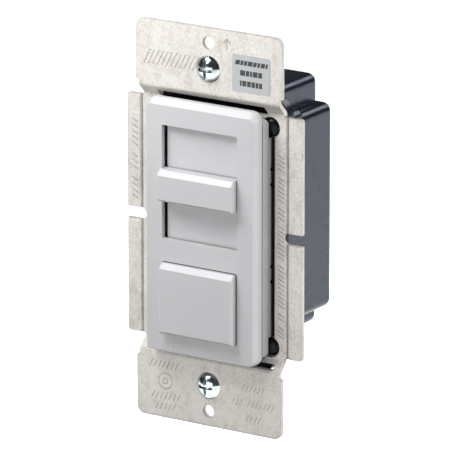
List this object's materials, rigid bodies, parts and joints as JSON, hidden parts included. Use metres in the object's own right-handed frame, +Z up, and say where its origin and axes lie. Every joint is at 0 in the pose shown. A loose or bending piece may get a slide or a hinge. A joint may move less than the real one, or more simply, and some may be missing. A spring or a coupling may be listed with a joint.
{
  "type": "dimmer slide switch",
  "caption": "Wall-box dimmer: a metal strap with snap-off side fins carries a pale face with a long slider and a square push pad, over a stepped dark housing.",
  "frame": {"origin": "midway between the two wallplate holes, in the front plane of the strap's end tabs", "axes": "+Z up the wall along the strap, +X to the viewer's right, +Y into the wall"},
  "size_m": [0.0526, 0.0337, 0.1048],
  "materials": {
    "strap_metal": "brushed rolled sheet",
    "label_film": "satin printed film",
    "zinc_steel": "bright zinc plate",
    "black_screw": "glossy black coating",
    "face_plastic": "fine moulded satin",
    "subframe_plastic": "fine moulded satin, a shade darker than the face",
    "dark_plastic": "moulded",
    "brass": "stamped",
    "tinned_steel": "tin plate",
    "board_laminate": "solder mask",
    "spring_steel": "drawn wire",
    "housing_plastic": "moulded semi gloss",
    "grommet_rubber": "moulded",
    "relay_plastic": "moulded",
    "ferrite": "sintered",
    "copper_wire": "enamelled copper",
    "capacitor_plastic": "moulded",
    "can_aluminium": "sleeved can",
    "resistor_lacquer": "lacquer",
    "fuse_ceramic": "glazed ceramic"
  },
  "bodies": {
    "device": {"mounting_strap": "strap_metal", "rating_label": "label_film", "housing_screws": "black_screw", "face_frame": "face_plastic", "subframe": "subframe_plastic", "slider_floor": "face_plastic", "potentiometer_case": "tinned_steel", "potentiometer_track": "board_laminate", "pad_spring": "spring_steel", "switch_body": "dark_plastic", "insulating_base": "dark_plastic", "rear_housing": "housing_plastic", "lead_grommet": "grommet_rubber", "control_board": "board_laminate", "board_screws": "zinc_steel", "power_relay": "relay_plastic", "choke_core": "ferrite", "choke_winding": "copper_wire", "film_capacitor": "capacitor_plastic", "electrolytic_capacitors": "can_aluminium", "resistors": "resistor_lacquer", "control_chip": "dark_plastic", "fuse": "fuse_ceramic", "power_transistor": "dark_plastic"},
    "slider": {"slider_knob": "face_plastic", "slider_carriage": "dark_plastic", "potentiometer_lever": "dark_plastic", "potentiometer_wiper": "brass"},
    "pad": {"switch_pad": "face_plastic", "switch_plunger": "dark_plastic"},
    "upper_screw": {"upper_box_screw": "zinc_steel"},
    "lower_screw": {"lower_box_screw": "zinc_steel"}
  },
  "joints": [
    {"name": "slider_slide", "type": "slide", "parent": "device", "child": "slider", "axis": [0, 0, 1], "range_m": [-0.0102, 0.011]},
    {"name": "pad_press", "type": "slide", "parent": "device", "child": "pad", "axis": [0, 1, 0], "range_m": [0, 0.0015], "stiffness_N_per_m": 600, "springref_m": -0.002, "deforming": ["pad_spring"]},
    {"name": "upper_screw_turn", "type": "hinge", "parent": "device", "child": "upper_screw", "pos_m": [0, 0, 0.04167], "axis": [0, 1, 0], "continuous": true},
    {"name": "lower_screw_turn", "type": "hinge", "parent": "device", "child": "lower_screw", "pos_m": [0, 0, -0.04167], "axis": [0, 1, 0], "continuous": true}
  ]
}
